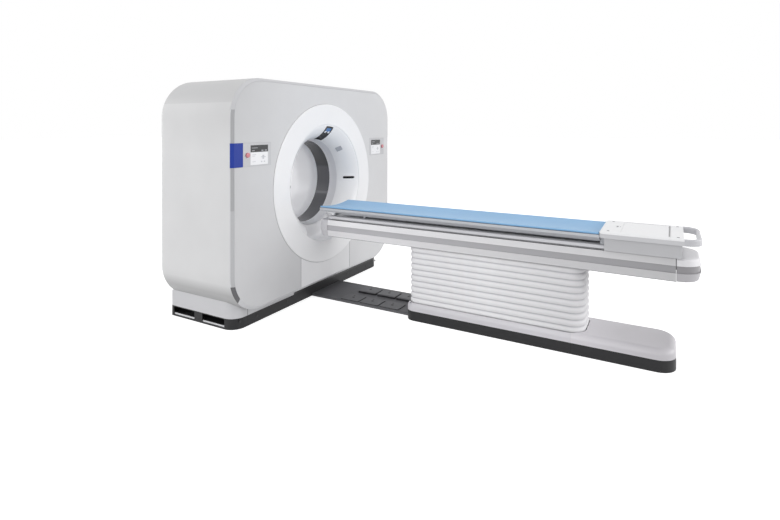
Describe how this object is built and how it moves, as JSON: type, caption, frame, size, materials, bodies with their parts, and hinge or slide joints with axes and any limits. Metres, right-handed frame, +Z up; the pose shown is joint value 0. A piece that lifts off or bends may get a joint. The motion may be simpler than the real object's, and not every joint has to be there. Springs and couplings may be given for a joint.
{
  "type": "ct scanner",
  "caption": "Ring gantry with a funnelled bore on a floor plinth, and a patient table whose padded cradle slides over a bellows-covered scissor lift.",
  "frame": {"origin": "on the floor, straight below the isocentre: the point where the bore axis meets the scan plane", "axes": "+Z up, +Y along the bore axis away from the patient table, +X across the gantry to the right as seen from the table"},
  "size_m": [2.2451, 3.669, 1.866],
  "materials": {
    "cover_white": "satin lacquered",
    "skirt_white": "satin",
    "trim_grey": "satin",
    "collar_grey": "satin",
    "window_dark": "glossy",
    "plinth_dark": "fine texture",
    "console_light": "satin",
    "screen_glass": "glossy",
    "slot_dark": "glossy",
    "window_light": "glossy",
    "label_blue": "satin",
    "stop_red": "glossy",
    "cast_frame": "painted casting",
    "bearing_steel": "ground",
    "drum_alloy": "machined",
    "slip_brass": "polished tracks",
    "unit_metal": "painted",
    "motor_metal": "painted",
    "belt_rubber": "matt",
    "duct_grey": "matt",
    "cap_grey": "matt",
    "table_white": "satin",
    "frame_steel": "painted",
    "roller_steel": "ground",
    "bellows_white": "coated fabric",
    "cradle_white": "satin composite",
    "pad_blue": "coated foam",
    "block_white": "satin",
    "handle_grey": "satin"
  },
  "bodies": {
    "gantry_and_base": {"bearing_outer": "bearing_steel", "bellows": "bellows_white", "bore_collar": "collar_grey", "bore_display": "screen_glass", "camera_window": "window_light", "console_left": "console_light", "console_right": "console_light", "drive_belt": "belt_rubber", "drive_motor": "motor_metal", "duct_caps": "cap_grey", "floor_duct": "duct_grey", "front_cover": "cover_white", "front_ring": "cover_white", "front_trim": "trim_grey", "label_plate": "label_blue", "laser_windows": "slot_dark", "lift_gearmotor": "motor_metal", "lower_panel": "cover_white", "plinth_front": "plinth_dark", "plinth_left": "plinth_dark", "plinth_rear": "plinth_dark", "plinth_right": "plinth_dark", "rear_cover": "cover_white", "rear_ring": "cover_white", "scan_window": "window_dark", "screens": "screen_glass", "shell_left": "cover_white", "shell_right": "cover_white", "skirt_front": "skirt_white", "skirt_left": "skirt_white", "skirt_rear": "skirt_white", "skirt_right": "skirt_white", "stator_frame": "cast_frame", "table_cover": "table_white", "table_frame": "frame_steel", "table_hood": "table_white", "table_plinth": "plinth_dark"},
    "rotor": {"rotor_drum": "drum_alloy", "slip_ring": "slip_brass", "xray_tube": "unit_metal", "voltage_tank": "unit_metal", "detector_arc": "unit_metal", "collimator": "unit_metal", "counterweight": "unit_metal"},
    "pulley": {"motor_pulley": "bearing_steel"},
    "lift": {"lift_frame": "frame_steel", "beam_cover": "table_white", "beam_nose": "table_white", "beam_end_cap": "table_white", "cradle_drive": "motor_metal", "cradle_rollers": "roller_steel"},
    "lower_arms": {"scissor_lower": "frame_steel"},
    "upper_arms": {"scissor_upper": "frame_steel"},
    "cradle_unit": {"cradle": "cradle_white", "mattress": "pad_blue", "foot_block": "block_white", "block_lid": "block_white", "handle": "handle_grey"},
    "stop_left": {"estop_left": "stop_red"},
    "stop_right": {"estop_right": "stop_red"}
  },
  "joints": [
    {"name": "rotor_spin", "type": "hinge", "parent": "gantry_and_base", "child": "rotor", "pos_m": [0, 0.1075, 1], "axis": [0, 1, 0], "continuous": true},
    {"name": "pulley_spin", "type": "hinge", "parent": "gantry_and_base", "child": "pulley", "pos_m": [0.73, 0.1075, 0.38], "axis": [0, 1, 0], "continuous": true},
    {"name": "table_lift", "type": "slide", "parent": "gantry_and_base", "child": "lift", "axis": [0, 0, 1], "range_m": [-0.33, 0], "deforming": ["bellows"]},
    {"name": "lower_arms_turn", "type": "hinge", "parent": "gantry_and_base", "child": "lower_arms", "pos_m": [0, -2.395, 0.112], "axis": [1, 0, 0], "range_deg": [-17.29, 0]},
    {"name": "upper_arms_turn", "type": "hinge", "parent": "lift", "child": "upper_arms", "pos_m": [0, -2.395, 0.532], "axis": [1, 0, 0], "range_deg": [0, 17.29]},
    {"name": "cradle_slide", "type": "slide", "parent": "lift", "child": "cradle_unit", "axis": [0, 1, 0], "range_m": [0, 1.7]},
    {"name": "estop_left_press", "type": "slide", "parent": "gantry_and_base", "child": "stop_left", "axis": [0, 1, 0], "range_m": [0, 0.0048], "stiffness_N_per_m": 1500},
    {"name": "estop_right_press", "type": "slide", "parent": "gantry_and_base", "child": "stop_right", "axis": [0, 1, 0], "range_m": [0, 0.0048], "stiffness_N_per_m": 1500}
  ],
  "couplings": [
    {"joint": "pulley_spin", "follows": "rotor_spin", "ratio": 8.2306},
    {"joint": "lower_arms_turn", "follows": "table_lift", "rad_per_m": 0.91163},
    {"joint": "upper_arms_turn", "follows": "table_lift", "rad_per_m": -0.91163}
  ]
}
